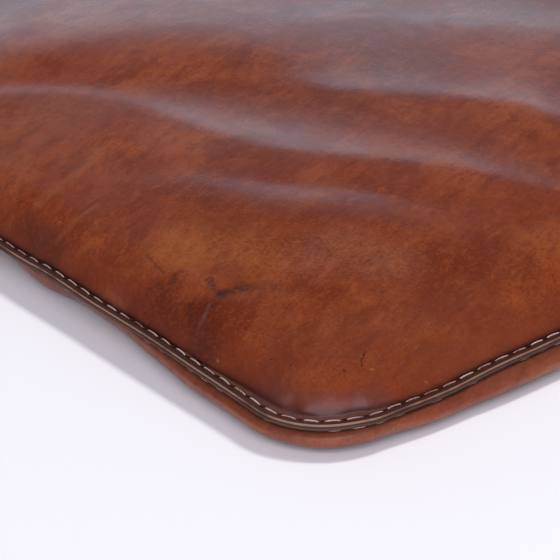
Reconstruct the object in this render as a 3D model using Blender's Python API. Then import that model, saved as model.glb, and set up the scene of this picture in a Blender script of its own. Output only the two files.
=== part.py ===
"""A padded leather cushion: two leather covers sewn face to face round a stuffed canvas case.

Run it with blender --background --python part.py, or from Blender's text editor.
Metres, +Z up. X runs along the cushion's length and Y along its width, and the origin is on
the ground under its middle. Both covers end in a flange, where one lockstitched seam joins
them, so the seam stands out all round, about 10 mm above the ground. Inside, a canvas case
holds a pad of curled hair between two layers of cotton wadding.
"""

import math

import bmesh
import bpy
from mathutils import Vector

# Driving dimensions
LENGTH = 0.560  # over the cut edges
WIDTH = 0.460
CORNER_RADIUS = 0.030  # of the cut edge, in plan
SIDE_PULL = 0.004  # the seam draws each side in by this much at its middle
SEAM_AT_CORNER = 0.0095  # height of the seam above the ground
SEAM_AT_MIDDLE = 0.012  # at the middle of each side
ROLL = 0.013  # the upper cover's shoulder stands this far above the seam
UPPER_SWEEP = math.radians(80)  # the upper cover's roll turns this far before the middle begins
CROWN = 0.018  # added at the middle of the upper cover
UPPER_SHOULDER = 0.026  # from the cut edge in to where the upper cover levels out
LOWER_SHOULDER = 0.022  # from the cut edge in to where the lower cover meets the ground
FLANGE = 0.006  # width of the flange
FLANGE_RISE = 0.0012  # the cut edge stands this much higher than the flange's root
STITCH_INSET = 0.003  # from the cut edge to the line of stitches
CASE_INSET = 0.0105  # from the cut edge to the canvas case
LEATHER = 0.0012
CANVAS = 0.0008
WADDING = 0.0030
THREAD_RADIUS = 0.0004
CLEARANCE = 0.0003  # left between pieces that touch

# Mesh steps
ARC_STEPS = 6  # round each corner, an even number
LENGTH_STEPS = 6  # along each long side
WIDTH_STEPS = 4
ROLL_STEPS = 5  # from the flange's root to a shoulder
THREAD_SIDES = 4

GRID_X = LENGTH_STEPS + ARC_STEPS
GRID_Y = WIDTH_STEPS + ARC_STEPS
FLANGE_FACE = LEATHER + CLEARANCE / 2  # from the seam's middle plane to a flange's outer face

# Colour, roughness
COGNAC_LEATHER = ((0.20, 0.045, 0.017), 0.38)
UNDERSIDE_LEATHER = ((0.13, 0.040, 0.020), 0.45)
LINEN_THREAD = ((0.62, 0.47, 0.36), 0.75)
COTTON_THREAD = ((0.70, 0.66, 0.56), 0.80)
CANVAS_CLOTH = ((0.60, 0.53, 0.40), 0.90)
COTTON_WADDING = ((0.80, 0.78, 0.72), 0.95)
CURLED_HAIR = ((0.10, 0.07, 0.05), 0.85)


def outline():
    """(point of the cut edge, outward normal, seam height) round the cushion, anticlockwise.

    It starts at the middle of the arc at -X -Y, which is the grid's first corner.
    """
    half_x = LENGTH / 2 - CORNER_RADIUS
    half_y = WIDTH / 2 - CORNER_RADIUS
    steps = []
    for side in range(4):
        reach, depth = (half_x, half_y) if side % 2 == 0 else (half_y, half_x)
        straight_steps = LENGTH_STEPS if side % 2 == 0 else WIDTH_STEPS
        normal = Vector((0.0, -1.0)) if side % 2 == 0 else Vector((1.0, 0.0))
        if side > 1:
            normal = -normal
        along = Vector((-normal.y, normal.x))
        for step in range(ARC_STEPS // 2):
            turned = turn(normal, (step / ARC_STEPS - 0.5) * math.pi / 2)
            centre = normal * depth - along * reach
            steps.append((centre + turned * CORNER_RADIUS, turned, SEAM_AT_CORNER))
        for step in range(straight_steps + 1):
            share = 2 * step / straight_steps - 1
            bow = 1 - share**2
            point = normal * (depth + CORNER_RADIUS - SIDE_PULL * bow) + along * reach * share
            rise = (SEAM_AT_MIDDLE - SEAM_AT_CORNER) * bow
            steps.append((point, normal, SEAM_AT_CORNER + rise))
        for step in range(1, ARC_STEPS // 2):
            turned = turn(normal, step / ARC_STEPS * math.pi / 2)
            centre = normal * depth + along * reach
            steps.append((centre + turned * CORNER_RADIUS, turned, SEAM_AT_CORNER))
    return steps


def turn(vector, angle):
    """This 2-D vector turned anticlockwise."""
    cosine = math.cos(angle)
    sine = math.sin(angle)
    return Vector((vector.x * cosine - vector.y * sine, vector.x * sine + vector.y * cosine))


def ring(inset, height):
    """Points this far in from the cut edge. height gives z from the seam's own height."""
    return [
        Vector((*(point - normal * inset), height(seam))) for point, normal, seam in outline()
    ]


def roll(upper, start, root, depth):
    """Rings from a layer's edge to its shoulder, each section a quarter of an ellipse.

    start is the layer's inset at the seam, root how far it begins above or below the seam's
    middle plane, and depth how far it lies under the cover's outer face.
    """
    rings = []
    shoulder = UPPER_SHOULDER if upper else LOWER_SHOULDER
    for step in range(ROLL_STEPS + 1):
        angle = step / ROLL_STEPS * (UPPER_SWEEP if upper else math.pi / 2)
        inset = shoulder - (shoulder - start) * math.cos(angle)
        share = math.sin(angle)
        if upper:
            lift = root + (ROLL - depth - root) * share
            rings.append(ring(inset, lambda seam, lift=lift: seam + lift))
        else:
            rings.append(
                ring(
                    inset,
                    lambda seam, share=share: (seam - root) * (1 - share) + depth * share,
                )
            )
    return rings


def flange_ring(upper, inset, offset):
    """A ring on the flange, this far from the seam's middle plane on the given side."""
    rise = FLANGE_RISE * (1 - inset / FLANGE)
    side = 1 if upper else -1
    return ring(inset, lambda seam: seam + rise + side * offset)


def add_ring(mesh, points):
    return [mesh.verts.new(point) for point in points]


def add_cell(mesh, near, near_next, far_next, far):
    """Two triangles, always cut the same way, so that nested layers can't cross."""
    mesh.faces.new((near, near_next, far_next))
    mesh.faces.new((near, far_next, far))


def bridge(mesh, first, second):
    """A band between two rings of vertices."""
    for i in range(len(first)):
        j = (i + 1) % len(first)
        add_cell(mesh, first[i], first[j], second[j], second[i])


def fill(mesh, edge, crown):
    """A grid over the middle of the cushion that meets a ring, as a Coons patch of that ring."""
    south = [edge[i] for i in range(GRID_X + 1)]
    east = [edge[GRID_X + i] for i in range(GRID_Y + 1)]
    north = [edge[2 * GRID_X + GRID_Y - i] for i in range(GRID_X + 1)]
    west = [edge[-i % len(edge)] for i in range(GRID_Y + 1)]
    rows = [south]
    for j in range(1, GRID_Y):
        v = j / GRID_Y
        row = [west[j]]
        for i in range(1, GRID_X):
            u = i / GRID_X
            across = west[j].co.lerp(east[j].co, u)
            along = south[i].co.lerp(north[i].co, v)
            low = south[0].co.lerp(south[-1].co, u)
            high = north[0].co.lerp(north[-1].co, u)
            point = across + along - low.lerp(high, v)
            point.z += crown * 16 * u * (1 - u) * v * (1 - v)
            row.append(mesh.verts.new(point))
        rows.append([*row, east[j]])
    rows.append(north)
    for low, high in zip(rows, rows[1:]):
        for i in range(GRID_X):
            add_cell(mesh, low[i], low[i + 1], high[i + 1], high[i])


def add_surface(mesh, rings, crown):
    """A surface through rings that run from the edge to the shoulder. Returns its first loop."""
    loops = [add_ring(mesh, points) for points in rings]
    for first, second in zip(loops, loops[1:]):
        bridge(mesh, first, second)
    fill(mesh, loops[-1], crown)
    return loops[0]


def add_body(name, first_rings, second_rings, crowns, look):
    """A closed solid: two surfaces, and the rim between their edges."""
    mesh = bmesh.new()
    first_edge = add_surface(mesh, first_rings, crowns[0])
    second_edge = add_surface(mesh, second_rings, crowns[1])
    bridge(mesh, first_edge, second_edge)
    return finish(name, mesh, look)


def finish(name, mesh, look):
    """The object, with its material, made from a mesh."""
    bmesh.ops.recalc_face_normals(mesh, faces=mesh.faces)
    data = bpy.data.meshes.new(name)
    mesh.to_mesh(data)
    mesh.free()
    part = bpy.data.objects.new(name, data)
    bpy.context.scene.collection.objects.link(part)
    colour, roughness = look
    material = bpy.data.materials.new(name)
    material.use_nodes = True
    shader = material.node_tree.nodes["Principled BSDF"]
    shader.inputs["Base Color"].default_value = (*colour, 1.0)
    shader.inputs["Roughness"].default_value = roughness
    shader.inputs["Metallic"].default_value = 0.0
    data.materials.append(material)
    return part


def cover(name, upper, look):
    """One leather cover: a shell with a flange, where the two covers lie against each other."""
    outer = [flange_ring(upper, 0.0, FLANGE_FACE), *roll(upper, FLANGE, FLANGE_FACE, 0.0)]
    inner = [
        flange_ring(upper, 0.0, CLEARANCE / 2),
        flange_ring(upper, FLANGE, CLEARANCE / 2),
        *roll(upper, FLANGE + LEATHER, CLEARANCE / 2, LEATHER),
    ]
    crown = CROWN if upper else 0.0
    return add_body(name, outer, inner, (crown, crown), look)


def layer(name, upper, start, depth, thickness, look):
    """A shell inside the covers that ends at the seam's middle plane."""
    outer = roll(upper, start, CLEARANCE / 2, depth)
    inner = roll(upper, start + thickness, CLEARANCE / 2, depth + thickness)
    crown = CROWN if upper else 0.0
    return add_body(name, outer, inner, (crown, crown), look)


def core(name, start, depth, look):
    """The filling: a solid that fills the middle of the cushion."""
    upper = roll(True, start, CLEARANCE / 2, depth)
    lower = roll(False, start, CLEARANCE / 2, depth)
    return add_body(name, upper, lower, (CROWN, 0.0), look)


def thread(name, inset, height, look):
    """A line of stitches, as one continuous bead. height gives its centre from the seam's."""
    mesh = bmesh.new()
    loops = []
    for side in range(THREAD_SIDES):
        angle = 2 * math.pi * side / THREAD_SIDES
        shift = THREAD_RADIUS * math.cos(angle)
        lift = height + THREAD_RADIUS * math.sin(angle)
        loops.append(add_ring(mesh, ring(inset + shift, lambda seam, lift=lift: seam + lift)))
    for side in range(THREAD_SIDES):
        bridge(mesh, loops[side], loops[(side + 1) % THREAD_SIDES])
    return finish(name, mesh, look)


def main():
    for old in list(bpy.data.objects):
        bpy.data.objects.remove(old)

    cover("top_cover", True, COGNAC_LEATHER)
    cover("bottom_cover", False, UNDERSIDE_LEATHER)

    stitch_rise = FLANGE_RISE * (1 - STITCH_INSET / FLANGE)
    stitch_lift = FLANGE_FACE + THREAD_RADIUS + 1.5 * CLEARANCE
    thread("needle_thread", STITCH_INSET, stitch_rise + stitch_lift, LINEN_THREAD)
    thread("bobbin_thread", STITCH_INSET, stitch_rise - stitch_lift, LINEN_THREAD)

    case_depth = LEATHER + CLEARANCE
    layer("ticking_upper", True, CASE_INSET, case_depth, CANVAS, CANVAS_CLOTH)
    layer("ticking_lower", False, CASE_INSET, case_depth, CANVAS, CANVAS_CLOTH)
    thread_inset = CASE_INSET - THREAD_RADIUS - CLEARANCE
    thread("ticking_thread", thread_inset, 0.0, COTTON_THREAD)

    wadding_inset = CASE_INSET + CANVAS + CLEARANCE
    wadding_depth = case_depth + CANVAS + CLEARANCE
    layer("wadding_upper", True, wadding_inset, wadding_depth, WADDING, COTTON_WADDING)
    layer("wadding_lower", False, wadding_inset, wadding_depth, WADDING, COTTON_WADDING)

    hair_inset = wadding_inset + WADDING + CLEARANCE
    hair_depth = wadding_depth + WADDING + CLEARANCE
    core("hair_core", hair_inset, hair_depth, CURLED_HAIR)


main()
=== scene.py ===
"""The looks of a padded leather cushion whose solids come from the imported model.

Two leather covers are lofted as a band of sections that follow the seam, closed by a grid over
the middle. Every length is in metres, in the frame of the model: X along the cushion, Y across
it, Z up from the ground. The outline starts at the middle of the -X -Y corner and runs
anticlockwise, and "s" is the distance along it.
"""

import math

import bmesh
import bpy
import numpy as np
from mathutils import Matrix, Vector


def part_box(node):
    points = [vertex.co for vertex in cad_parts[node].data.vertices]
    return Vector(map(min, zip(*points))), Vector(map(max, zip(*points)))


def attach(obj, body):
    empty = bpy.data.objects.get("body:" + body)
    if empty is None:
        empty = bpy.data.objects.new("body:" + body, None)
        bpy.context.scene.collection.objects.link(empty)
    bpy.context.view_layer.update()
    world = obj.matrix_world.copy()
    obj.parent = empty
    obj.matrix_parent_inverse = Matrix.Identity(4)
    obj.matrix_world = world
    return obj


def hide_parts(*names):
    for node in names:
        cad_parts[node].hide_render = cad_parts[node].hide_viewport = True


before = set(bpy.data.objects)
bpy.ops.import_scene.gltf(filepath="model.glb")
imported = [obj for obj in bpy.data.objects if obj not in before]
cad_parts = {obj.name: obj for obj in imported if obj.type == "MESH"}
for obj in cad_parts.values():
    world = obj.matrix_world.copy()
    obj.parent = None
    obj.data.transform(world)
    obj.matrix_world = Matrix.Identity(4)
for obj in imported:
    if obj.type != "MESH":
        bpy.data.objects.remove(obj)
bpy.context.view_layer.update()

MM = 0.001

# Driving dimensions, the same as the model's
HALF_X, HALF_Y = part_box("top_cover")[1][:2]
CORNER_RADIUS = 0.030
SIDE_PULL = 0.004
SEAM_AT_CORNER = 0.0095
SEAM_AT_MIDDLE = 0.012
FLANGE = 0.006
FLANGE_RISE = 0.0012
STITCH_INSET = 0.003
LEATHER = 0.0012
CANVAS = 0.0008
WADDING = 0.0030

# Detail
PUFF = 0.0065  # the upper cover rises this much within a few millimetres of the seam
PUFF_REACH = 0.0036
SHOULDER = 0.0085  # and this much more over the next few centimetres
SHOULDER_REACH = 0.034
CROWN = 0.0185  # and this much more to the middle
CROWN_POWER = 2.4  # a higher power makes the crown flatter in the middle
BULGE = 0.0009  # the upper cover leans out over its crease by this much
BULGE_REACH = 0.0012
BELLY = 0.0145  # both handles of the lower roll's curve lie this far out from its foot
ROOF = 1.20  # height of the first handle, as a share of the seam's
BELLY_LEVEL = 0.16  # and of the second
SOFT_FOOT = 1.6  # a soft layer's foot lies further in by this many times its depth
SOFT_BELLY = 1.2  # and its handles by this many times
SOFT_OUT = 0.003  # from handles that lie no nearer than this to the cut edge
BAND = 0.017  # width of the band round the middle
FLANGE_END = 0.0040  # inset at which the materials' bands for the roll begin
LOWER_SPAN = 0.020  # inset that the lower roll takes in those bands
STITCH = 0.008  # along the seam
THREAD_RADIUS = 0.00025
BOBBIN_INSET = 0.0008  # the lower line of stitches lies this far in from the cut edge
SEAM_GAP = 0.0001  # half the gap between the two flanges

# Mesh steps
GRID_X = 220  # cells over the middle
GRID_Y = 180
RING = 4 * (GRID_X + GRID_Y)  # points along the seam, two for each cell at the grid's edge
ROLL_ROWS = 16
ROW_SPREAD = 1.8  # a higher power sets the upper roll's rows closer together at the seam
HIDDEN_STEP = 4  # faces that can't be seen use every fourth point
HIDDEN_UPPER_ROWS = 10
HIDDEN_LOWER_ROWS = 8
RIM_GAP = 0.0012  # from the last row in to the grid
HIDDEN_RIM_GAP = 0.0010

# How the seam's height wanders from a smooth line, as (s, height)
SEAM_WAVE = (
    (-0.250, 0.0002), (-0.195, 0.0001), (-0.163, -0.0006), (-0.145, 0.0003), (-0.120, -0.0004),
    (-0.100, 0.0000), (-0.083, 0.0003), (-0.040, -0.0002), (0.000, -0.0005), (0.012, 0.0008),
    (0.028, 0.0004), (0.038, -0.0006), (0.056, -0.0005), (0.075, 0.0002), (0.100, 0.0002),
    (0.300, 0.0008), (0.520, -0.0004), (0.700, 0.0007), (0.950, 0.0000), (1.150, 0.0009),
    (1.450, -0.0005),
)

rng = np.random.default_rng(7)


# ---------------------------------------------------------------- outline and its profiles


def smooth(values, width):
    """Values round the outline, blurred over this distance."""
    waves = np.fft.rfftfreq(RING, PERIMETER / RING)
    spectrum = np.fft.rfft(values, axis=0)
    falloff = np.exp(-2 * (math.pi * waves * width) ** 2)
    falloff = falloff.reshape(-1, *[1] * (np.ndim(values) - 1))
    return np.fft.irfft(spectrum * falloff, RING, axis=0)


def ripple(shortest, longest, size):
    """A wave round the outline, of mixed wavelengths between these, with this typical height."""
    numbers = np.arange(math.ceil(PERIMETER / longest), int(PERIMETER / shortest) + 1)
    turns = np.outer(2 * math.pi * np.arange(RING) / RING, numbers)
    heights = rng.normal(size=(2, len(numbers)))
    total = np.cos(turns) @ heights[0] + np.sin(turns) @ heights[1]
    return size * total / math.sqrt(len(numbers))


def along(places, blur=0.012):
    """A value round the outline through (s, value) pairs, blurred. Negative s is before the start."""
    places = sorted((s % PERIMETER, value) for s, value in places)
    at, values = zip(*places)
    at = (at[-1] - PERIMETER, *at, at[0] + PERIMETER)
    values = (values[-1], *values, values[0])
    return smooth(np.interp(DISTANCE, at, values), blur)


def outline():
    """(points, how far each is along a straight side from -1 to 1) round the cut edge."""
    points = []
    shares = []
    arc = CORNER_RADIUS * math.pi / 2
    for side in range(4):
        reach = (HALF_X if side % 2 == 0 else HALF_Y) - CORNER_RADIUS
        depth = (HALF_Y if side % 2 == 0 else HALF_X) - CORNER_RADIUS
        steps = 2 * (GRID_X if side % 2 == 0 else GRID_Y)
        distance = np.arange(steps) / steps * (2 * reach + arc)
        first = np.clip(distance, 0, arc / 2) - arc / 2
        last = np.clip(distance - arc / 2 - 2 * reach, 0, None)
        facing = (side - 1) * math.pi / 2
        angle = facing + (first + last) / CORNER_RADIUS
        shift = np.clip(distance - arc / 2, 0, 2 * reach) - reach
        x = depth * math.cos(facing) - shift * math.sin(facing) + CORNER_RADIUS * np.cos(angle)
        y = depth * math.sin(facing) + shift * math.cos(facing) + CORNER_RADIUS * np.sin(angle)
        points.append(np.stack([x, y], axis=1))
        shares.append(shift / reach)
    return np.concatenate(points), np.concatenate(shares)


PERIMETER = 4 * (HALF_X + HALF_Y - 2 * CORNER_RADIUS) + 2 * math.pi * CORNER_RADIUS
STITCHES = round(PERIMETER / STITCH)
DISTANCE = np.arange(RING) / RING * PERIMETER
EDGE, SHARE = outline()
BOW = smooth(1 - SHARE**2, 0.012)
TANGENT = np.roll(EDGE, -1, axis=0) - np.roll(EDGE, 1, axis=0)
NORMAL = np.stack([TANGENT[:, 1], -TANGENT[:, 0]], axis=1)
NORMAL /= np.linalg.norm(NORMAL, axis=1, keepdims=True)
EDGE = EDGE - NORMAL * (SIDE_PULL * BOW + np.abs(ripple(0.05, 0.4, 0.0002)))[:, None]
CORNERNESS = smooth((np.abs(SHARE) > 0.9999).astype(float), 0.015)
SEAM = SEAM_AT_CORNER + (SEAM_AT_MIDDLE - SEAM_AT_CORNER) * BOW + along(SEAM_WAVE, 0.005)


def ring(inset, height, step=1):
    """A closed row of points, each this far in from the cut edge, at this height."""
    inset = np.broadcast_to(inset, RING)[::step, None]
    height = np.broadcast_to(height, RING)[::step, None]
    return np.concatenate([EDGE[::step] - NORMAL[::step] * inset, height], axis=1)


# ---------------------------------------------------------------- heights over the middle


def blob(plan, place, size, turn=0.0):
    """A rounded hump over a plan, 1 at its middle. size is (along, across) its long axis."""
    offset = plan - np.array(place)
    cosine = math.cos(turn)
    sine = math.sin(turn)
    first = (offset[..., 0] * cosine + offset[..., 1] * sine) / size[0]
    second = (offset[..., 1] * cosine - offset[..., 0] * sine) / size[1]
    return np.exp(-(first**2) - second**2)


def swell(plan, lengths, size, seed):
    """Soft random undulations over a plan."""
    waves = np.random.default_rng(seed)
    total = np.zeros(plan.shape[:-1])
    count = 24
    for _ in range(count):
        length = waves.uniform(*lengths)
        heading = waves.uniform(0, math.pi)
        direction = np.array([math.cos(heading), math.sin(heading)]) * 2 * math.pi / length
        total += np.cos(plan @ direction + waves.uniform(0, 2 * math.pi))
    return size * total / math.sqrt(count)


# The folds in the upper cover all run much the same way, so they are laid out on axes turned
# by this angle: "across" along the folds and "deep" square to them
FOLD_TURN = math.radians(-39.5)

# Folds, as (reach, end, (across, deep, drop), ...). Beyond its crest, which passes through these
# points, the cover falls below its even swell by the drop over the reach, and makes it up again
# by the end. A negative reach faces the other way, and a negative drop is a rise.
FOLDS = (
    (
        0.007, 0.022,
        (-0.235, -0.112, 0.0), (-0.215, -0.116, 0.0010), (-0.191, -0.119, 0.0014),
        (-0.161, -0.125, 0.0014), (-0.139, -0.137, 0.0009), (-0.115, -0.150, 0.0),
    ),
    (
        0.024, 0.058,
        (-0.165, -0.125, 0.0), (-0.139, -0.137, 0.0014), (-0.119, -0.155, 0.0034),
        (-0.100, -0.170, 0.0042), (-0.081, -0.182, 0.0044), (-0.059, -0.189, 0.0044),
        (-0.038, -0.194, 0.0040), (-0.013, -0.199, 0.0042), (0.018, -0.211, 0.0036),
        (0.060, -0.225, 0.0),
    ),
    (
        0.040, 0.120,
        (-0.135, -0.136, 0.0), (-0.115, -0.156, 0.0015), (-0.095, -0.168, 0.0022),
        (-0.075, -0.176, 0.0018), (-0.050, -0.180, 0.0),
    ),
    (
        -0.024, 0.055,
        (-0.150, -0.194, 0.0), (-0.124, -0.196, -0.0014), (-0.110, -0.199, -0.0028),
        (-0.096, -0.206, -0.0037), (-0.085, -0.211, -0.0041), (-0.074, -0.214, -0.0041),
        (-0.066, -0.215, -0.0039), (-0.048, -0.219, -0.0035), (-0.039, -0.221, -0.0024),
        (-0.010, -0.227, 0.0),
    ),
    (
        0.026, 0.090,
        (-0.090, -0.120, 0.0), (-0.070, -0.124, 0.0022), (-0.062, -0.1285, 0.0034),
        (-0.043, -0.133, 0.0040), (-0.016, -0.137, 0.0042), (0.010, -0.1425, 0.0042),
        (0.024, -0.155, 0.0042), (0.090, -0.175, 0.0),
    ),
    (
        0.030, 0.120,
        (-0.220, -0.020, 0.0), (-0.120, -0.040, 0.0030), (0.000, -0.060, 0.0036),
        (0.090, -0.070, 0.0026), (0.160, -0.080, 0.0),
    ),
    (
        -0.030, 0.120,
        (-0.140, 0.100, 0.0), (-0.060, 0.080, 0.0034), (0.040, 0.085, 0.0028),
        (0.120, 0.070, 0.0034), (0.220, 0.040, 0.0),
    ),
    (
        -0.022, 0.100,
        (-0.100, 0.180, 0.0), (-0.030, 0.165, 0.0030), (0.060, 0.170, 0.0026), (0.130, 0.150, 0.0),
    ),
)
FOLD_EASE = 0.004  # a crest is rounded over this distance
RELIEF_MARGIN = 0.06  # folds fade out over this distance to the edge
LUMP_LENGTHS = (0.09, 0.22)
LUMP_HEIGHT = 0.0006
LUMP_SEED = 3
RISE_HEIGHT = 0.0042  # a broad rise behind the folds, towards the -X edge
RISE_PLACE = (-0.179, 0.050)
RISE_SIZE = (0.080, 0.045)


def relief(plan):
    """The upper cover's folds and hollows, where the filling has settled."""
    inside = np.clip((HALF_X - np.abs(plan[..., 0])) / RELIEF_MARGIN, 0, 1)
    inside = inside * np.clip((HALF_Y - np.abs(plan[..., 1])) / RELIEF_MARGIN, 0, 1)
    across = plan[..., 0] * math.cos(FOLD_TURN) + plan[..., 1] * math.sin(FOLD_TURN)
    deep = plan[..., 1] * math.cos(FOLD_TURN) - plan[..., 0] * math.sin(FOLD_TURN)
    lumps = swell(plan, LUMP_LENGTHS, LUMP_HEIGHT, LUMP_SEED)
    lumps += RISE_HEIGHT * blob(plan, RISE_PLACE, RISE_SIZE, FOLD_TURN)
    places = np.linspace(-0.4, 0.4, 801)
    window = np.exp(-(np.linspace(-2.5, 2.5, 31) ** 2))
    for reach, end, *points in FOLDS:
        at_across, at_deep, at_drop = zip(*points)
        crest = np.interp(places, at_across, at_deep)
        drop = np.interp(places, at_across, at_drop)
        crest = np.convolve(np.pad(crest, 15, "edge"), window / window.sum(), "valid")
        drop = np.convolve(np.pad(drop, 15, "edge"), window / window.sum(), "valid")
        past = (deep - np.interp(across, places, crest)) * math.copysign(1, reach)
        past = (past + np.hypot(past, FOLD_EASE)) / 2
        fall = (1 - np.exp(-past / abs(reach))) * np.exp(-((past / end) ** 2))
        lumps -= np.interp(across, places, drop) * fall
    return lumps * inside * inside * (3 - 2 * inside)


def edge_distance(plan):
    """How far in from the cut edge each place is."""
    x = np.abs(plan[..., 0]) - HALF_X + CORNER_RADIUS
    y = np.abs(plan[..., 1]) - HALF_Y + CORNER_RADIUS
    outside = np.hypot(np.clip(x, 0, None), np.clip(y, 0, None))
    return CORNER_RADIUS - outside - np.minimum(np.maximum(x, y), 0)


def swollen(plan):
    """How far the upper cover rises above the seam, without its steep edge."""
    x = np.clip(np.abs(plan[..., 0]) / HALF_X, 0, 1)
    y = np.clip(np.abs(plan[..., 1]) / HALF_Y, 0, 1)
    shoulder = (1 - np.exp((x - 1) * HALF_X / SHOULDER_REACH)) * (
        1 - np.exp((y - 1) * HALF_Y / SHOULDER_REACH)
    )
    crown = (1 - x**CROWN_POWER) * (1 - y**CROWN_POWER)
    seam = SEAM_AT_CORNER + (SEAM_AT_MIDDLE - SEAM_AT_CORNER) * (1 - x**2 * y**2)
    return seam + SHOULDER * shoulder + CROWN * crown + relief(plan)


def upper_level(plan):
    """Height of the upper cover's outer face over the middle of the cushion."""
    reach = np.clip(edge_distance(plan) - UPPER_ROOT.mean(), 0, None)
    rise = PUFF * (1 - np.exp(-reach / PUFF_REACH))
    return FACE + swollen(plan) + rise


# ---------------------------------------------------------------- meshes

FAR_INSET = 0.05  # given to the middle's faces, past every band in the materials


class Skin:
    """Gathers rows round the outline and grids over the middle into one mesh.

    A row is (vertex numbers, inset, zone). Each corner of each face keeps its place along the
    seam in stitches, its inset and its zone, for the materials.
    """

    def __init__(self):
        self.points = []
        self.count = 0
        self.faces = []
        self.corners = []

    def add(self, points):
        points = points.reshape(-1, 3)
        self.points.append(points)
        self.count += len(points)
        return np.arange(self.count - len(points), self.count)

    def row(self, points, inset, zone):
        return self.add(points), np.broadcast_to(inset, RING)[:: RING // len(points)], zone

    def strip(self, first, second):
        """A band of faces between two rows. The first may have several points to the second's one."""
        count = len(second[0])
        ratio = len(first[0]) // count
        column = np.arange(count)
        places = [(first, column * ratio + step) for step in range(ratio + 1)]
        places += [(second, column + 1), (second, column)]
        ids = []
        corners = []
        for (numbers, inset, zone), at_column in places:
            size = len(numbers)
            ids.append(numbers[at_column % size])
            stitch = at_column / size * STITCHES
            spread = np.full(count, zone)
            corners.append(np.stack([stitch, inset[at_column % size], spread], axis=1))
        self.faces.append(np.stack(ids, axis=1))
        self.corners.append(np.stack(corners, axis=1).reshape(-1, 3))

    def band(self, rows):
        """Bands through all these rows in turn. Returns the last."""
        for first, second in zip(rows, rows[1:]):
            self.strip(first, second)
        return rows[-1]

    def close(self, last, inset, level, step, zone=0.0):
        """A grid over the middle, inside the last row. level gives heights from plan places."""
        cells_x = GRID_X * 2 // step
        cells_y = GRID_Y * 2 // step
        plan = grid_over(ring(inset, 0.0, step)[:, :2], cells_x, cells_y)
        ids = self.add(np.concatenate([plan, level(plan)[..., None]], axis=-1))
        ids = ids.reshape(cells_y + 1, cells_x + 1)
        rim = [ids[0, :-1], ids[:-1, -1], ids[-1, :0:-1], ids[:0:-1, 0]]
        self.strip(last, (np.concatenate(rim), np.broadcast_to(inset, RING)[::step], zone))
        quads = np.stack([ids[:-1, :-1], ids[:-1, 1:], ids[1:, 1:], ids[1:, :-1]], axis=-1)
        self.faces.append(quads.reshape(-1, 4))
        self.corners.append(np.tile([0.0, FAR_INSET, zone], (quads.size, 1)))

    def finish(self, name, material):
        """The object, with smooth shading and its faces turned outwards."""
        faces = [face for group in self.faces for face in group.tolist()]
        made = add_object(name, np.concatenate(self.points), faces, material)
        mesh = made.data
        attribute = mesh.attributes.new("seam", "FLOAT_VECTOR", "CORNER")
        values = np.concatenate(self.corners).astype(np.float32)
        attribute.data.foreach_set("vector", values.ravel())
        turned = bmesh.new()
        turned.from_mesh(mesh)
        bmesh.ops.recalc_face_normals(turned, faces=turned.faces)
        turned.to_mesh(mesh)
        turned.free()
        return made


def grid_over(edge, cells_x, cells_y):
    """Plan places for a grid inside a closed row of points, evened out."""
    south = edge[: cells_x + 1]
    east = edge[cells_x : cells_x + cells_y + 1]
    north = edge[cells_x + cells_y : 2 * cells_x + cells_y + 1][::-1]
    west = np.concatenate([edge[2 * cells_x + cells_y :], edge[:1]])[::-1]
    u = np.linspace(0, 1, cells_x + 1)[None, :, None]
    v = np.linspace(0, 1, cells_y + 1)[:, None, None]
    plan = (1 - v) * south[None] + v * north[None] + (1 - u) * west[:, None] + u * east[:, None]
    plan = plan - (1 - v) * ((1 - u) * south[0] + u * south[-1])
    plan = plan - v * ((1 - u) * north[0] + u * north[-1])
    for _ in range(400):
        middle = plan[1:-1, :-2] + plan[1:-1, 2:] + plan[:-2, 1:-1] + plan[2:, 1:-1]
        plan[1:-1, 1:-1] += 0.9 * (middle / 4 - plan[1:-1, 1:-1])
    return plan


def add_object(name, points, faces, material):
    """A mesh object with smooth shading."""
    mesh = bpy.data.meshes.new(name)
    mesh.from_pydata(points.tolist(), [], faces)
    mesh.polygons.foreach_set("use_smooth", np.ones(len(faces), bool))
    mesh.materials.append(material)
    piece = bpy.data.objects.new(name, mesh)
    bpy.context.scene.collection.objects.link(piece)
    return piece


# ---------------------------------------------------------------- covers and layers

# Where the lower cover meets the ground, as (s, how far in from the cut edge)
LOWER_FOOT = (
    (-0.250, 0.026), (-0.215, 0.024), (-0.195, 0.0225), (-0.172, 0.0165), (-0.150, 0.0145),
    (-0.127, 0.0185), (-0.100, 0.0150), (-0.071, 0.0110), (-0.036, 0.0105), (0.000, 0.0105),
    (0.024, 0.0120), (0.045, 0.0080), (0.090, 0.0065), (0.180, 0.0085), (0.300, 0.015),
    (0.550, 0.010), (0.800, 0.018), (1.000, 0.010), (1.300, 0.019), (1.540, 0.012),
)

# How much further in the crease between flange and upper roll lies, as (s, distance)
CORNER_CREASE = (
    (-0.100, 0.0), (-0.060, 0.0002), (-0.040, 0.0012), (-0.022, 0.0020), (-0.008, 0.0012),
    (0.004, 0.0006), (0.012, 0.0026), (0.018, 0.0016), (0.026, -0.0012), (0.036, -0.0008),
    (0.060, 0.0), (0.100, 0.0),
)

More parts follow.
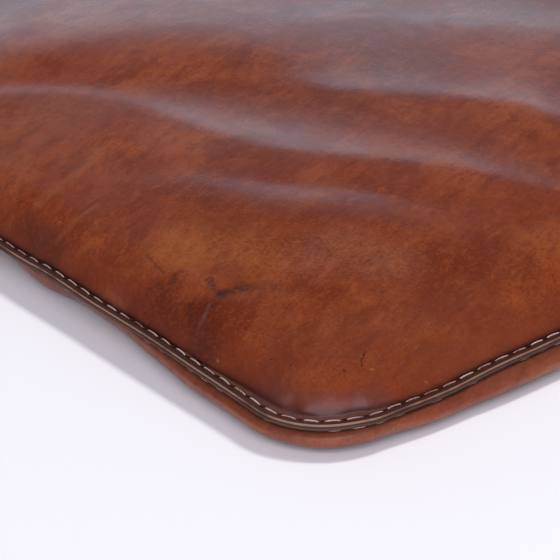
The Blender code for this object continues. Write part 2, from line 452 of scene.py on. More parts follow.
# Sections through the two flanges, from inside the seam round the cut edge and back over the
# flange: (inset, distance from the seam's middle, zone). Zone 2 is flesh side, 1 the cut
# edge and 0 the finished side.
FACE = SEAM_GAP + LEATHER
FLANGE_SECTION = (
    (0.0040, SEAM_GAP, 2.0),
    (0.0015, SEAM_GAP, 2.0),
    (0.0003, SEAM_GAP + 0.00003, 2.0),
    (0.00003, SEAM_GAP + 0.00025, 1.0),
    (0.0, SEAM_GAP + LEATHER / 2, 1.0),
    (0.00004, FACE - 0.00030, 0.8),
    (0.00018, FACE - 0.00007, 0.3),
    (0.0005, FACE, 0.0),
    (0.0012, FACE + 0.00002, 0.0),
    (0.0020, FACE, 0.0),
    (0.0026, FACE - 0.00012, 0.0),
    (STITCH_INSET, FACE - 0.00022, 0.0),
    (0.0034, FACE - 0.00014, 0.0),
)

UPPER_ROOT = 0.0042 + 0.0022 * CORNERNESS + along(CORNER_CREASE, 0.004)  # the upper crease
LOWER_ROOT = 0.0038  # inset of the lower crease
CREASE_DEPTH = 0.00015  # both creases lie this far below their flange's face
UPPER_PUCKER = ripple(0.010, 0.030, 0.00018) * (1 + CORNERNESS)
FOOT = along(LOWER_FOOT, 0.006) + ripple(0.03, 0.12, 0.0004)


def upper_roll(depth, rows, step=1):
    """Rows from the seam over the upper roll, this deep under its face.

    Each is (points, inset, inset for the material), which doesn't fall back where it bulges.
    """
    found = []
    start = UPPER_ROOT + depth
    face = FACE if depth == 0 else SEAM_GAP
    bulge = (BULGE if depth == 0 else 0.0) * (1 - 0.8 * CORNERNESS) + UPPER_PUCKER
    for row in range(1, rows + 1):
        reach = BAND * (row / rows) ** ROW_SPREAD
        lean = reach / BULGE_REACH * math.exp(1 - reach / BULGE_REACH)
        inset = start + reach - bulge * lean
        points = ring(inset, 0.0, step)
        blend = min(reach / BAND, 1.0)
        blend = blend * blend * (3 - 2 * blend)
        rise = PUFF * (1 - math.exp(-reach / PUFF_REACH))
        inner = swollen(points[:, :2]) + FACE - depth
        near = SEAM[::step] + face + swollen(points[:, :2]) - swollen(ring(start, 0.0, step)[:, :2])
        points[:, 2] = rise + near * (1 - blend) + inner * blend
        found.append((points, inset, FLANGE_END + reach))
    return found


def lower_roll(start, depth, rows, step=1):
    """Rows from the seam down to the ground, as upper_roll gives them.

    The cover's own two faces keep their distance. The soft layers inside bulge less.
    """
    found = []
    cover = depth <= LEATHER
    base = SEAM - (FACE if cover else SEAM_GAP)
    foot = FOOT if cover else FOOT + SOFT_FOOT * depth
    out = FOOT - BELLY
    if not cover:
        out = np.maximum(out, SOFT_OUT) + SOFT_BELLY * depth
    lift = 0.0 if cover else depth
    for row in range(1, rows + 1):
        share = row / rows
        rest = 1 - share
        first = 3 * rest**2 * share * ROOF
        second = 3 * rest * share**2
        inset = rest**3 * start + 3 * rest * share * out + share**3 * foot
        height = (rest**3 + first + BELLY_LEVEL * second) * base
        height = height + ((1 - BELLY_LEVEL) * second + share**3) * lift
        if cover and depth:
            sideways = 3 * ((rest - share) * out - rest**2 * start + share**2 * foot)
            fall = ROOF * rest * (rest - 2 * share) - rest**2
            fall = 3 * (fall + BELLY_LEVEL * share * (2 * rest - share)) * base
            size = np.hypot(sideways, fall)
            inset = inset - fall / size * depth
            height = height + sideways / size * depth
        found.append((ring(inset, height, step), inset, FLANGE_END + share * LOWER_SPAN))
    return found


def leather_cover(name, upper, material):
    """A leather cover as a closed shell: flange, roll and middle, and the flesh side inside."""
    skin = Skin()
    side = 1 if upper else -1
    rows = []
    for inset, offset, zone in FLANGE_SECTION:
        tilt = FLANGE_RISE * (1 - inset / FLANGE)
        rows.append(skin.row(ring(inset, SEAM + tilt + side * offset), inset, zone))
    root = UPPER_ROOT if upper else LOWER_ROOT
    tilt = FLANGE_RISE * (1 - root / FLANGE)
    crease = SEAM + tilt + side * (FACE - CREASE_DEPTH)
    rows.append(skin.row(ring(root, crease), FLANGE_END, 0.0))
    if upper:
        outer = upper_roll(0.0, ROLL_ROWS)
        inner = upper_roll(LEATHER, HIDDEN_UPPER_ROWS, HIDDEN_STEP)
    else:
        outer = lower_roll(root, 0.0, ROLL_ROWS)
        inner = lower_roll(root, LEATHER, HIDDEN_LOWER_ROWS, HIDDEN_STEP)
    for points, _, reach in outer:
        rows.append(skin.row(points, reach, 0.0))
    skin.band(rows)
    level = upper_level if upper else ground
    skin.close(rows[-1], outer[-1][1] + RIM_GAP, level, 2)
    hidden = [skin.row(points, reach, 2.0) for points, _, reach in inner]
    skin.strip(rows[0], hidden[0])
    skin.band(hidden)
    rim = inner[-1][1] + HIDDEN_RIM_GAP
    skin.close(hidden[-1], rim, lambda plan: level(plan) - side * LEATHER, HIDDEN_STEP, 2.0)
    return skin.finish(name, material)


def ground(plan):
    return np.zeros(plan.shape[:-1])


def hidden_half(skin, edge, upper, start, depth):
    """One unseen face this deep inside the upper or lower cover, from a row at the seam."""
    if upper:
        found = upper_roll(depth, HIDDEN_UPPER_ROWS, HIDDEN_STEP)
    else:
        found = lower_roll(start, depth, HIDDEN_LOWER_ROWS, HIDDEN_STEP)
    last = skin.band([edge, *[skin.row(points, reach, 2.0) for points, _, reach in found]])
    rim = found[-1][1] + HIDDEN_RIM_GAP
    if upper:
        skin.close(last, rim, lambda plan: upper_level(plan) - depth, HIDDEN_STEP, 2.0)
    else:
        skin.close(last, rim, lambda plan: ground(plan) + depth, HIDDEN_STEP, 2.0)


def layer(name, upper, start, depth, thickness, material):
    """A soft layer inside the covers, as a closed shell that ends at the seam."""
    skin = Skin()
    edges = []
    for inset, deep in ((start, depth), (start + thickness, depth + thickness)):
        first = UPPER_ROOT + deep if upper else inset
        height = SEAM + (SEAM_GAP if upper else -SEAM_GAP)
        edge = skin.row(ring(first, height, HIDDEN_STEP), first, 2.0)
        hidden_half(skin, edge, upper, inset, deep)
        edges.append(edge)
    skin.strip(*edges)
    return skin.finish(name, material)


def filling(name, start, depth, material):
    """The hair pad, which fills what is left inside."""
    skin = Skin()
    edge = skin.row(ring(start, SEAM, HIDDEN_STEP), start, 2.0)
    hidden_half(skin, edge, True, start, depth)
    hidden_half(skin, edge, False, start, depth)
    return skin.finish(name, material)


# ---------------------------------------------------------------- stitches


def at(values, distance):
    """Values round the outline, read between its points."""
    place = np.asarray(distance) / PERIMETER * RING
    low = np.floor(place).astype(int)
    share = place - low
    if values.ndim > 1:
        share = share[..., None]
    return values[low % RING] * (1 - share) + values[(low + 1) % RING] * share


# One stitch, in shares of the pitch. The rest of the pitch is the hole between two stitches
STITCH_START = 0.08
STITCH_END = 0.90
STITCH_JITTER = 0.02
STITCH_SEGMENTS = 14
THREAD_SIDES = 8
STITCH_SLANT = 0.0003  # each stitch lies this much askew
SLANT_JITTER = 0.0001
BOBBIN_JITTER = 0.0003  # the lower line wanders this much across the flange
STITCH_RISE = 1.15  # height of a stitch's arch, in thread radii
RISE_JITTER = 0.00004
STITCH_SINK = 0.00020  # the thread's bed is pressed this deep into the leather
STITCH_DIVE = 0.0008  # its ends go down this far into the holes
PLY_DEPTH = 0.16  # how far the thread's two plies stand out, as a share of its radius
PLY_TURNS = 2.6  # in one stitch


def stitches(name, side, material):
    """Separate stitches of twisted thread. side is 1 over the upper flange and -1 under the lower."""
    share = np.linspace(0, 1, STITCH_SEGMENTS + 1)
    arch = np.sin(math.pi * share) ** 0.6
    dive = STITCH_DIVE * np.abs(2 * share - 1) ** 8
    angle = 2 * math.pi * np.arange(THREAD_SIDES) / THREAD_SIDES
    twist = angle - 2 * math.pi * PLY_TURNS * share[:, None]
    radius = THREAD_RADIUS * (1 + PLY_DEPTH * np.cos(2 * twist)) * (0.75 + 0.25 * arch)[:, None]
    sideways = (radius * np.cos(angle))[..., None]
    upwards = (radius * np.sin(angle))[..., None] * np.array([0.0, 0.0, 1.0])
    place = STITCH_INSET if side > 0 else BOBBIN_INSET
    tilt = FLANGE_RISE * (1 - place / FLANGE)
    points = []
    faces = []
    for number in range(STITCHES):
        jitter = rng.normal(size=4)
        start = (number + STITCH_START + STITCH_JITTER * jitter[0]) * PERIMETER / STITCHES
        end = (number + STITCH_END + STITCH_JITTER * jitter[1]) * PERIMETER / STITCHES
        distance = start + (end - start) * share
        inset = place + BOBBIN_JITTER * np.clip(jitter[2], -0.5, 2.0) * (side < 0)
        outward = at(NORMAL, distance)
        lean = (share - 0.5) * (STITCH_SLANT + SLANT_JITTER * jitter[2])
        centre = at(EDGE, distance) - outward * inset + outward * lean[:, None]
        height = (THREAD_RADIUS * STITCH_RISE + RISE_JITTER * jitter[3]) * arch - dive
        level = at(SEAM, distance) + tilt + side * (FACE - STITCH_SINK + height)
        line = np.concatenate([centre, level[:, None]], axis=1)[:, None]
        out = np.concatenate([outward, np.zeros((len(share), 1))], axis=1)[:, None]
        ids = number * radius.size + np.arange(radius.size).reshape(radius.shape)
        onward = np.roll(ids, -1, axis=1)
        quads = np.stack([ids[:-1], ids[1:], onward[1:], onward[:-1]], axis=-1)
        points.append((line + out * sideways + upwards).reshape(-1, 3))
        faces += [*quads.reshape(-1, 4).tolist(), ids[0].tolist(), ids[-1, ::-1].tolist()]
    return add_object(name, np.concatenate(points), faces, material)


OVERCAST_PITCH = 0.010
OVERCAST_STEPS = 8  # points in one turn
OVERCAST_SIDES = 5
OVERCAST_WIDTH = 0.0004
OVERCAST_HEIGHT = 0.0009


def overcasting(name, material):
    """The thread that closes the canvas case: a spiral over its edge."""
    count = round(PERIMETER / OVERCAST_PITCH) * OVERCAST_STEPS
    step = np.arange(count)
    distance = step / count * PERIMETER
    angle = step / OVERCAST_STEPS * 2 * math.pi
    inset = at(UPPER_ROOT, distance) + LEATHER - OVERCAST_WIDTH
    outward = at(NORMAL, distance)
    inset = inset - OVERCAST_WIDTH * np.cos(angle)
    centre = at(EDGE, distance) - outward * inset[:, None]
    height = at(SEAM, distance) + OVERCAST_HEIGHT * np.sin(angle)
    line = np.concatenate([centre, height[:, None]], axis=1)
    out = np.concatenate([outward, np.zeros((count, 1))], axis=1)
    points = []
    for side in range(OVERCAST_SIDES):
        turn = 2 * math.pi * side / OVERCAST_SIDES
        offset = out * math.cos(turn) + np.array([0, 0, math.sin(turn)])
        points.append(line + THREAD_RADIUS * offset)
    ids = np.arange(count * OVERCAST_SIDES).reshape(OVERCAST_SIDES, count)
    onward = np.roll(ids, -1, axis=1)
    faces = np.stack([ids, onward, np.roll(onward, -1, axis=0), np.roll(ids, -1, axis=0)], axis=-1)
    return add_object(name, np.concatenate(points), faces.reshape(-1, 4).tolist(), material)


# ---------------------------------------------------------------- materials


class Nodes:
    """Short calls for building one material's node tree."""

    def __init__(self, name):
        self.material = bpy.data.materials.new(name)
        self.material.use_nodes = True
        self.tree = self.material.node_tree
        self.shader = self.tree.nodes["Principled BSDF"]

    def put(self, socket, value):
        if isinstance(value, bpy.types.NodeSocket):
            self.tree.links.new(value, socket)
        else:
            socket.default_value = value

    def node(self, kind, inputs=None, **settings):
        """A node. inputs is {name or number of a socket: a value or another node's output}."""
        made = self.tree.nodes.new("ShaderNode" + kind)
        for key, value in settings.items():
            setattr(made, key, value)
        for key, value in (inputs or {}).items():
            self.put(made.inputs[key], value)
        return made

    def finish(self, colour, roughness, normal):
        """The material, with these on its shader."""
        self.put(self.shader.inputs["Base Color"], colour)
        self.put(self.shader.inputs["Roughness"], roughness)
        self.put(self.shader.inputs["Normal"], normal)
        return self.material

    def position(self):
        return self.node("TexCoord").outputs["Object"]

    def seam(self):
        """(stitches along, inset, zone) of a cover."""
        made = self.node("Attribute", attribute_name="seam")
        return self.node("SeparateXYZ", {0: made.outputs["Vector"]}).outputs

    def math(self, operation, first, second=0.0, third=0.0, clamp=False):
        inputs = {0: first, 1: second, 2: third}
        return self.node("Math", inputs, operation=operation, use_clamp=clamp).outputs[0]

    def vector(self, operation, first, second=(0.0, 0.0, 0.0)):
        inputs = {0: first, "Scale" if operation == "SCALE" else 1: second}
        made = self.node("VectorMath", inputs, operation=operation)
        return made.outputs["Value" if operation in ("DOT_PRODUCT", "LENGTH") else "Vector"]

    def noise(self, vector, scale, detail=4.0, roughness=0.5, distortion=0.0):
        inputs = {"Vector": vector, "Scale": scale, "Detail": detail, "Roughness": roughness}
        inputs["Distortion"] = distortion
        return self.node("TexNoise", inputs).outputs["Fac"]

    def noise_vector(self, vector, scale):
        made = self.node("TexNoise", {"Vector": vector, "Scale": scale})
        return self.vector("SUBTRACT", made.outputs["Color"], (0.5, 0.5, 0.5))

    def cells(self, vector, scale):
        made = self.node("TexVoronoi", {"Vector": vector, "Scale": scale}, feature="F1")
        return made.outputs["Distance"]

    def stretch(self, vector, scale, turn=0.0, shift=(0.0, 0.0, 0.0)):
        inputs = {"Vector": vector, "Scale": scale, "Rotation": (0.0, 0.0, turn), "Location": shift}
        return self.node("Mapping", inputs).outputs[0]

    def strokes(self, vector, angle, long, shift=(0.0, 0.0, 0.0)):
        """Space stretched so that a noise runs this many times longer along this angle in plan."""
        inputs = {"Vector": vector, "Rotation": (0.0, 0.0, angle), "Scale": (long, 1.0, 1.0)}
        inputs["Location"] = shift
        return self.node("Mapping", inputs, vector_type="TEXTURE").outputs[0]

    def span(self, value, low, high, start=0.0, end=1.0):
        """value from low..high mapped smoothly to start..end."""
        inputs = {"Value": value, "From Min": low, "From Max": high, "To Min": start, "To Max": end}
        return self.node("MapRange", inputs, interpolation_type="SMOOTHSTEP").outputs[0]

    def mix(self, factor, first, second):
        """first and second are colours, which a colour Mix takes at sockets 6 and 7."""
        inputs = {"Factor": factor}
        for socket, value in ((6, first), (7, second)):
            inputs[socket] = value if isinstance(value, bpy.types.NodeSocket) else (*value, 1.0)
        return self.node("Mix", inputs, data_type="RGBA").outputs[2]

    def paint(self, colour, mask, strength, tint):
        """A tint laid over a colour at this strength where the mask is 1."""
        return self.mix(self.math("MULTIPLY", mask, strength), colour, tint)

    def bump(self, height, distance, strength=1.0, normal=None):
        inputs = {"Height": height, "Distance": distance, "Strength": strength}
        if normal is not None:
            inputs["Normal"] = normal
        return self.node("Bump", inputs).outputs[0]

    def line(self, vector, points, width):
        """1 along a broken line in plan, falling to 0 over this width, for any height."""
        flat = self.vector("MULTIPLY", vector, (1.0, 1.0, 0.0))
        nearest = None
        for start, end in zip(points, points[1:]):
            start = Vector((*start, 0.0))
            span = Vector((*end, 0.0)) - start
            offset = self.vector("SUBTRACT", flat, start)
            share = self.vector("DOT_PRODUCT", offset, span / span.length_squared)
            share = self.math("MINIMUM", self.math("MAXIMUM", share, 0.0), 1.0)
            away = self.vector("SUBTRACT", offset, self.vector("SCALE", span, share))
            away = self.vector("LENGTH", away)
            nearest = away if nearest is None else self.math("MINIMUM", nearest, away)
        return self.span(nearest, width * 0.15, width, 1.0, 0.0)


# Bands of the leather along the seam, as insets from the cut edge
GROOVE = 0.0023  # middle of the creased line outside the stitches
OUTER_BAND = (0.0033, 0.0037)  # the flange's burnished part ends here
WORN_STRIP = (0.0039, 0.0042)  # and the worn strip inside it here
# painted shade along the crease at the foot of each roll
CREASE_SHADE_BAND = (0.0042, 0.0056)
DARK_BAND = (0.0046, 0.016)  # the leather is darker towards the seam over this band
WRINKLED_BAND = (0.004, 0.016)
FOOT_BAND = (0.013, 0.021)  # where the lower cover nears the ground
HOLE = (0.0003, 0.0008)  # a needle hole's radius, and its soft edge's
GROOVE_SHADE = (0.010, 0.005, 0.005)
HOLE_SHADE = (0.008, 0.004, 0.003)
FOOT_SHADE = (0.060, 0.022, 0.018)


def dyed(n, place, dark, middle, light):
    """Uneven dye: broad clouds, then blotches and mottling, then streaks and specks."""
    broad = n.noise(place, 11.0, 3.0, 0.5, 0.4)
    cloud = n.noise(n.stretch(place, (1.0, 1.0, 1.0), 0.5, (3.0, 1.0, 0.0)), 30.0, 5.0, 0.55, 0.3)
    blotch = n.noise(n.strokes(place, 0.33, 2.2), 90.0, 5.0, 0.65, 0.4)
    mottle = n.noise(n.strokes(place, 0.33, 1.8), 260.0, 4.0, 0.70, 0.2)
    streak = n.noise(n.strokes(place, 0.36, 7.0, (0.3, 0.0, 0.0)), 420.0, 4.0, 0.65, 0.1)
    speck = n.noise(place, 900.0, 3.0, 0.7)
    colour = n.mix(n.span(broad, 0.34, 0.62), dark, middle)
    colour = n.paint(colour, n.span(cloud, 0.42, 0.70), 0.80, light)
    colour = n.paint(colour, n.span(blotch, 0.46, 0.68), 0.72, dark)
    colour = n.paint(colour, n.span(mottle, 0.50, 0.68), 0.62, dark)
    colour = n.paint(colour, n.span(mottle, 0.48, 0.32), 0.42, light)
    colour = n.paint(colour, n.span(streak, 0.52, 0.68), 0.50, dark)
    colour = n.paint(colour, n.span(streak, 0.46, 0.32), 0.32, light)
    colour = n.paint(colour, n.span(speck, 0.50, 0.67), 0.64, dark)
    return n.paint(colour, n.span(speck, 0.47, 0.33), 0.42, light)


def marked(n, place, colour, marks):
    """(colour with these marks on it, their height in metres)."""
    wander = n.noise(place, 700.0, 3.0, 0.6)
    shifted = n.vector("ADD", place, n.vector("SCALE", n.noise_vector(place, 330.0), 0.0022))
    relief_height = 0.0
    for places, width, height, paint, strength in marks:
        points = [(x * MM - HALF_X, y * MM - HALF_Y) for x, y in places]
        line = n.line(shifted, points, width * MM)
        broken = n.math("MULTIPLY", line, n.span(wander, 0.35, 0.60, 0.30, 1.0))
        colour = n.paint(colour, broken, strength, paint)
        relief_height = n.math("MULTIPLY_ADD", line, height * MM, relief_height)
    return colour, relief_height


def needle_holes(n, stitch, inset):
    """1 in the holes between the stitches, else 0."""
    phase = n.math("SUBTRACT", n.math("FRACT", n.math("ADD", stitch, 0.5)), 0.5)
    side = n.math("MULTIPLY", phase, STITCH)
    off = n.math("SUBTRACT", inset, STITCH_INSET)
    reach = n.math("MULTIPLY", side, side)
    reach = n.math("MULTIPLY_ADD", off, off, reach)
    return n.span(n.math("SQRT", reach), *HOLE, 1.0, 0.0)


def leather_normal(n, place, inset):
    """Wrinkles, which are stronger near the seam, and the grain and pores on them."""
    pores = n.cells(place, 1300.0)
    grain = n.noise(place, 800.0, 4.0, 0.6)
    wrinkle = n.noise(n.stretch(place, (1.0, 0.5, 1.0), 0.35), 120.0, 3.0, 0.5, 0.6)
    normal = n.bump(wrinkle, 0.00030, n.span(inset, *WRINKLED_BAND, 0.80, 0.35))
    crinkle = n.noise(place, 330.0, 3.0, 0.6, 0.4)
    normal = n.bump(crinkle, 0.00016, n.span(inset, 0.005, 0.020, 0.70, 0.10), normal)
    normal = n.bump(grain, 0.00006, 0.45, normal)
    return n.bump(n.span(pores, 0.0, 0.25), 0.00003, 0.30, normal)


def leather(name, palette, roughness, marks=(), shaded_foot=False):
    """Waxed leather. palette is (dark, middle, light, burnished, raw, worn) colours.

    marks are laid out as MARKS are. The last argument adds painted shade where the leather nears the
    ground.
    """
    dark, middle, light, burnished, raw, worn = palette
    n = Nodes(name)
    place = n.position()
    stitch, inset, zone = n.seam()

    colour = dyed(n, place, dark, middle, light)
    colour = n.mix(n.span(inset, *DARK_BAND, 0.60, 0.0), colour, dark)
    # painted shade in the crease where the roll rises from the flange
    colour = n.paint(colour, n.span(inset, *CREASE_SHADE_BAND, 1.0, 0.0), 0.80, burnished)
    # painted shade on the lower cover where it curves under towards the ground
    if shaded_foot:
        colour = n.paint(colour, n.span(inset, *FOOT_BAND), 0.60, FOOT_SHADE)
    colour = n.paint(colour, n.span(inset, *WORN_STRIP, 1.0, 0.0), 0.85, worn)
    outer = n.span(inset, *OUTER_BAND, 1.0, 0.0)
    colour = n.paint(colour, outer, 0.92, burnished)
    # painted shade: a dark line in the groove outside the stitches
    groove = n.math("ABSOLUTE", n.math("SUBTRACT", inset, GROOVE))
    colour = n.paint(colour, n.span(groove, 0.0001, 0.0004, 1.0, 0.0), 0.75, GROOVE_SHADE)
    colour, mark_height = marked(n, place, colour, marks)
    # painted shade in the needle holes between the stitches
    hole = needle_holes(n, stitch, inset)
    colour = n.paint(colour, hole, 0.92, HOLE_SHADE)

    fibre = n.noise(n.stretch(place, (1.0, 1.0, 4.0)), 1500.0, 4.0, 0.7)
    cut = n.span(zone, 0.45, 0.85)
    flesh = n.mix(fibre, raw, tuple(0.60 * part for part in raw))
    stain = n.noise(place, 55.0, 3.0, 0.6)
    flesh = n.mix(n.span(stain, 0.42, 0.62, 0.0, 0.75), flesh, burnished)
    colour = n.mix(cut, colour, flesh)

    normal = leather_normal(n, place, inset)
    if marks:
        normal = n.bump(mark_height, 1.0, 1.0, normal)
    normal = n.bump(n.math("MULTIPLY", hole, -1.0), 0.0004, 0.8, normal)

    polish = n.noise(place, 26.0, 4.0, 0.6, 0.5)
    rough = n.span(polish, 0.30, 0.70, roughness - 0.05, roughness + 0.06)
    rough = n.math("MULTIPLY_ADD", n.span(inset, *WRINKLED_BAND, 1.0, 0.0), 0.20, rough)
    rough = n.math("ADD", rough, n.math("MULTIPLY", cut, 0.35), clamp=True)
    n.put(n.shader.inputs["Specular IOR Level"], n.span(outer, 0.0, 1.0, 0.5, 0.30))
    return n.finish(colour, rough, normal)


def thread(name, light, dark, roughness):
    """Twisted waxed thread."""
    n = Nodes(name)
    place = n.position()
    dirt = n.noise(place, 90.0, 3.0, 0.7)
    fibre = n.noise(place, 5200.0, 2.0, 0.6)
    colour = n.mix(n.span(dirt, 0.35, 0.70), light, dark)
    colour = n.paint(colour, fibre, 0.35, dark)
    return n.finish(colour, roughness, n.bump(fibre, 0.00008, 0.6))


def canvas(name, light, dark):
    """Plain-woven cotton ticking."""
    n = Nodes(name)
    place = n.position()
    threads = []
    for turn in (0.0, math.pi / 2):
        turned = n.stretch(place, (1.0, 1.0, 1.0), turn)
        inputs = {"Vector": turned, "Scale": 180.0, "Distortion": 1.5, "Detail Scale": 2.0}
        wave = n.node("TexWave", inputs, wave_type="BANDS", bands_direction="X")
        threads.append(wave.outputs["Fac"])
    weave = n.math("MAXIMUM", *threads)
    slub = n.noise(n.stretch(place, (1.0, 12.0, 1.0)), 40.0, 4.0, 0.6)
    colour = n.mix(n.span(slub, 0.40, 0.70), light, dark)
    colour = n.mix(n.span(weave, 0.9, 0.2, 0.0, 0.6), colour, dark)
    return n.finish(colour, 0.92, n.bump(weave, 0.0002, 0.8))


def matted(name, light, dark, scale, depth):
    """Loose fibres pressed into a mat."""
    n = Nodes(name)
    place = n.position()
    first = n.noise(place, scale, 6.0, 0.7, 2.5)
    second = n.cells(n.stretch(place, (1.0, 2.5, 1.0), 0.7), scale * 2.2)
    colour = n.mix(n.span(first, 0.35, 0.65), dark, light)
    return n.finish(colour, 0.95, n.bump(second, depth / 2, 0.6, n.bump(first, depth, 0.9)))


# ---------------------------------------------------------------- pieces

SCAR = (0.040, 0.016, 0.013)
DARK = (0.050, 0.014, 0.008)
WINE = (0.070, 0.009, 0.004)
PALE = (0.33, 0.13, 0.055)
CORNER_SHADE = (0.095, 0.034, 0.030)
SCAR_HIGHLIGHT = (0.24, 0.13, 0.12)
AMBER = (0.42, 0.135, 0.035)
SHEEN_PATCH = (0.30, 0.14, 0.095)
RUSSET = (0.150, 0.038, 0.021)

# Marks on the upper cover, in millimetres: (places in from the -X edge and in from the -Y edge,
# width, height, colour, strength)
MARKS = (
    # Patches in the dye, and one patch of painted sheen
    (((32, 110), (46.5, 90.5)), 22.0, 0.0, AMBER, 0.3),
    # painted sheen: a pale, greyish haze
    (((60, 70), (67, 73), (75, 53.5)), 20.0, 0.0, SHEEN_PATCH, 0.26),
    (((22.5, 35), (53, 22), (78.5, 21)), 26.0, 0.0, RUSSET, 0.5),
    # The forked scar
    (((27.5, 88.5), (26, 84.5), (25, 79)), 1.9, -0.03, SCAR, 0.72),
    (((25, 79), (29, 77), (33, 74.5)), 3.2, -0.03, SCAR, 0.72),
    (((30, 76.5), (35, 72.5), (39, 69)), 5.0, 0.0, SCAR, 0.42),
    (((25, 79), (19, 77.5)), 3.4, 0.0, SCAR, 0.5),
    # painted highlight along the scar's raised stem
    (((19, 77.5), (15.5, 75.5), (13, 74)), 1.2, 0.04, SCAR_HIGHLIGHT, 0.62),
    (((15.5, 75.5), (10.5, 73.5)), 0.9, 0.04, SCAR_HIGHLIGHT, 0.4),
    (((16.5, 76.5), (8, 64)), 9.0, 0.0, WINE, 0.6),
    (((11, 77), (7, 64.5)), 6.0, 0.0, DARK, 0.36),
    # Spots and stains round it
    (((24, 100), (22.5, 100), (19.5, 98.5)), 2.4, -0.03, SCAR, 0.72),
    (((16, 83.5), (15, 82)), 2.6, 0.0, SCAR, 0.45),
    (((16.5, 103), (14.5, 94)), 4.4, 0.0, SCAR, 0.28),
    (((11, 100), (11.5, 94), (12.5, 82.5)), 12.0, 0.0, WINE, 0.6),
    # Scratches
    (((17, 65.5), (18.5, 60.5), (19, 54.5)), 0.7, -0.1, DARK, 0.4),
    (((19, 54.5), (20.5, 50), (22, 45)), 0.6, -0.1, DARK, 0.3),
    (((23, 117.5), (22, 111.5), (20.5, 104)), 0.8, -0.1, DARK, 0.45),
    # Painted shade in the corner's creases
    (((5.5, 34), (7, 23), (11, 15.5)), 8.5, 0.0, CORNER_SHADE, 0.62),
    (((11, 15.5), (20, 8.5), (30, 6.5)), 7.5, 0.0, CORNER_SHADE, 0.5),
    (((21, 8), (28, 4), (37, 3)), 3.0, 0.0, DARK, 0.45),
    # Nicks
    (((38, 22), (32.5, 17.5)), 0.5, -0.1, DARK, 0.95),
    (((14.5, 41), (15, 40.5)), 0.7, -0.15, DARK, 0.8),
    (((17, 33.5), (17, 33)), 0.7, -0.15, DARK, 0.8),
    (((27, 19.5), (27, 19)), 0.6, -0.12, DARK, 0.8),
    (((34.5, 15), (35, 14.5)), 0.8, -0.12, PALE, 0.5),
    (((49.5, 6.5), (50, 6)), 0.7, -0.12, PALE, 0.5),
    (((7.5, 58.5), (7.5, 58)), 0.6, -0.15, PALE, 0.6),
    # Rubbed and darkened places along the -X edge
    (((55, 189), (38.5, 181.5), (20, 178.5)), 4.0, 0.0, PALE, 0.22),
    (((30.5, 158), (21, 157), (13.5, 157)), 2.0, 0.0, PALE, 0.24),
    (((43.5, 216.5), (29, 202), (10.5, 183)), 1.0, 0.0, PALE, 0.16),
    (((34.5, 218), (64, 228)), 22.0, 0.0, PALE, 0.16),
    (((14.5, 179), (11.5, 166), (9.5, 153)), 6.0, 0.0, DARK, 0.45),
    (((6, 48), (5.5, 33.5)), 5.0, 0.0, DARK, 0.4),
    (((8, 120.5), (7.5, 112.5), (6.5, 109)), 1.6, 0.0, PALE, 0.2),
    (((100, 152), (100, 151.5)), 0.9, 0.0, SCAR, 0.5),
)

# Dark, middle, light, burnished, raw and worn colours
UPPER_PALETTE = (
    (0.132, 0.021, 0.007), (0.212, 0.037, 0.010), (0.300, 0.070, 0.017),
    (0.042, 0.014, 0.009), (0.36, 0.20, 0.14), (0.150, 0.062, 0.038),
)
LOWER_PALETTE = (
    (0.130, 0.030, 0.017), (0.210, 0.046, 0.018), (0.290, 0.082, 0.028),
    (0.070, 0.026, 0.017), (0.110, 0.062, 0.046), (0.110, 0.040, 0.025),
)
upper_leather = leather("upper_leather", UPPER_PALETTE, 0.27, MARKS)
lower_leather = leather("lower_leather", LOWER_PALETTE, 0.36, shaded_foot=True)
linen = thread("linen_thread", (0.68, 0.55, 0.49), (0.22, 0.11, 0.075), 0.5)
cotton = thread("cotton_thread", (0.72, 0.68, 0.58), (0.50, 0.45, 0.36), 0.8)
ticking = canvas("canvas", (0.62, 0.55, 0.42), (0.40, 0.34, 0.24))
wadding = matted("cotton_wadding", (0.82, 0.80, 0.74), (0.62, 0.58, 0.50), 220.0, 0.0006)
hair = matted("curled_hair", (0.16, 0.11, 0.08), (0.02, 0.014, 0.010), 420.0, 0.0012)

top = leather_cover("upper_cover", True, upper_leather)
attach(top, "root")
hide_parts("top_cover")

bottom = leather_cover("lower_cover", False, lower_leather)
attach(bottom, "root")
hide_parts("bottom_cover")

CLEARANCE = 0.0003  # between one layer and the next
CASE_DEPTH = LEATHER + CLEARANCE
WADDING_DEPTH = CASE_DEPTH + CANVAS + CLEARANCE
HAIR_DEPTH = WADDING_DEPTH + WADDING + CLEARANCE
LAYERS = (
    ("ticking_top", "ticking_upper", True, CASE_DEPTH, CANVAS, ticking, "canvas"),
    ("ticking_base", "ticking_lower", False, CASE_DEPTH, CANVAS, ticking, "canvas"),
    ("wadding_top", "wadding_upper", True, WADDING_DEPTH, WADDING, wadding, "cotton_wadding"),
    ("wadding_base", "wadding_lower", False, WADDING_DEPTH, WADDING, wadding, "cotton_wadding"),
)
pieces = [
    (stitches("needle_stitches", 1, linen), "needle_thread", "linen_thread"),
    (stitches("bobbin_stitches", -1, linen), "bobbin_thread", "linen_thread"),
]
for name, node, upper, depth, thickness, material, slot in LAYERS:
    inside = layer(name, upper, LOWER_ROOT + depth, depth, thickness, material)
    pieces.append((inside, node, slot))
inside = filling("hair_pad", LOWER_ROOT + HAIR_DEPTH, HAIR_DEPTH, hair)
pieces.append((inside, "hair_core", "curled_hair"))
pieces.append((overcasting("ticking_stitches", cotton), "ticking_thread", "cotton_thread"))
for piece, node, slot in pieces:
    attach(piece, "root")
    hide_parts(node)


# ---------------------------------------------------------------- floor, lights and camera

FLOOR_HALF = 6.0
FLOOR_DROP = 0.0002  # keeps the floor clear of the cushion's flat underside


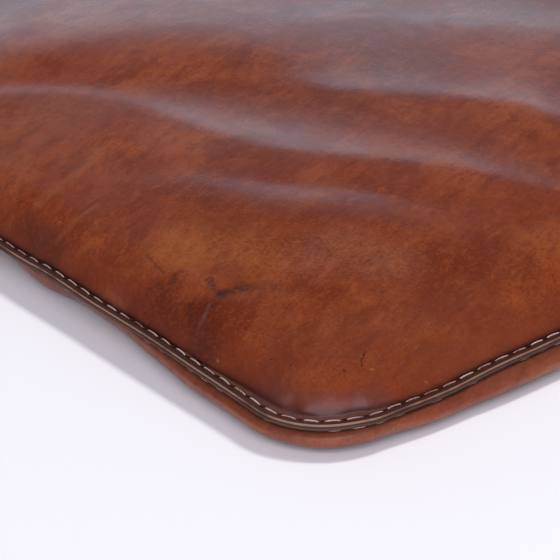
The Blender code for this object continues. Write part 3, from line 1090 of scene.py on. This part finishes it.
def floor():
    mesh = bpy.data.meshes.new("floor")
    corners = [(-1, -1), (1, -1), (1, 1), (-1, 1)]
    points = [(x * FLOOR_HALF, y * FLOOR_HALF, 0) for x, y in corners]
    mesh.from_pydata(points, [], [(0, 1, 2, 3)])
    made = bpy.data.objects.new("floor", mesh)
    made.location.z = -FLOOR_DROP
    bpy.context.scene.collection.objects.link(made)
    n = Nodes("floor")
    n.put(n.shader.inputs["Base Color"], (0.90, 0.90, 0.93, 1.0))
    n.put(n.shader.inputs["Roughness"], 0.9)
    n.put(n.shader.inputs["Specular IOR Level"], 0.1)
    mesh.materials.append(n.material)


# Area lights: (name, place, target, size, watts, colour, shows in reflections)
CORNER = (-0.2, -0.2, 0)
LILAC = (0.96, 0.91, 1.0)
SKY_BLUE = (0.60, 0.80, 1.0)
LIGHTS = (
    ("key", (1.66, -0.59, 3.75), CORNER, (0.75, 0.75), 83, (1.0, 1.0, 0.97), False),
    ("fill", (-1.7, -2.0, 1.5), CORNER, (3.0, 2.2), 43, LILAC, True),
    ("wall", (-1.9, -1.8, 1.6), CORNER, (3.0, 2.2), 32, LILAC, False),
    ("back", (0.8, 1.85, 0.62), (-0.1, 0, 0), (2.6, 0.95), 8.2, SKY_BLUE, True),
)
ROOM_COLOUR = (0.95, 0.92, 1.0, 1.0)
ROOM_LIGHT = 0.22
ROOM_REFLECTION = 0.05


def area_light(name, place, target, size, watts, colour, reflected):
    data = bpy.data.lights.new(name, "AREA")
    data.shape = "RECTANGLE"
    data.size, data.size_y = size
    data.energy = watts
    data.color = colour
    light = bpy.data.objects.new(name, data)
    light.location = place
    aim = Vector(target) - Vector(place)
    light.rotation_euler = aim.to_track_quat("-Z", "Y").to_euler()
    light.visible_glossy = reflected
    bpy.context.scene.collection.objects.link(light)


def studio():
    """An even white room that hardly shows in reflections, and the four lights.

    A high key gives the soft shadow, two wide lights stand on the camera's side, and a low
    bluish one at the back gives the folds their sheen.
    """
    world = bpy.data.worlds.new("studio")
    bpy.context.scene.world = world
    world.use_nodes = True
    tree = world.node_tree
    background = tree.nodes["Background"]
    glossy = tree.nodes.new("ShaderNodeLightPath").outputs["Is Glossy Ray"]
    ramp = tree.nodes.new("ShaderNodeMapRange")
    ramp.inputs["To Min"].default_value = ROOM_LIGHT
    ramp.inputs["To Max"].default_value = ROOM_REFLECTION
    tree.links.new(glossy, ramp.inputs["Value"])
    tree.links.new(ramp.outputs[0], background.inputs["Strength"])
    background.inputs["Color"].default_value = ROOM_COLOUR
    for light in LIGHTS:
        area_light(*light)


# The camera looks over the -X -Y corner
VIEW_TURN = math.radians(-39.492)  # from looking along +Y
VIEW_DIP = math.radians(25.445)
LENS = 146.15  # mm, on a 36 mm sensor
CAMERA_PLACE = (-0.6686, -0.6836, 0.3510)


def camera():
    data = bpy.data.cameras.new("camera")
    data.lens = LENS
    data.clip_start = 0.02
    made = bpy.data.objects.new("camera", data)
    made.location = CAMERA_PLACE
    made.rotation_euler = (math.pi / 2 - VIEW_DIP, 0.0, VIEW_TURN)
    bpy.context.scene.collection.objects.link(made)
    bpy.context.scene.camera = made


floor()
studio()
camera()
bpy.context.scene.view_settings.view_transform = "Standard"
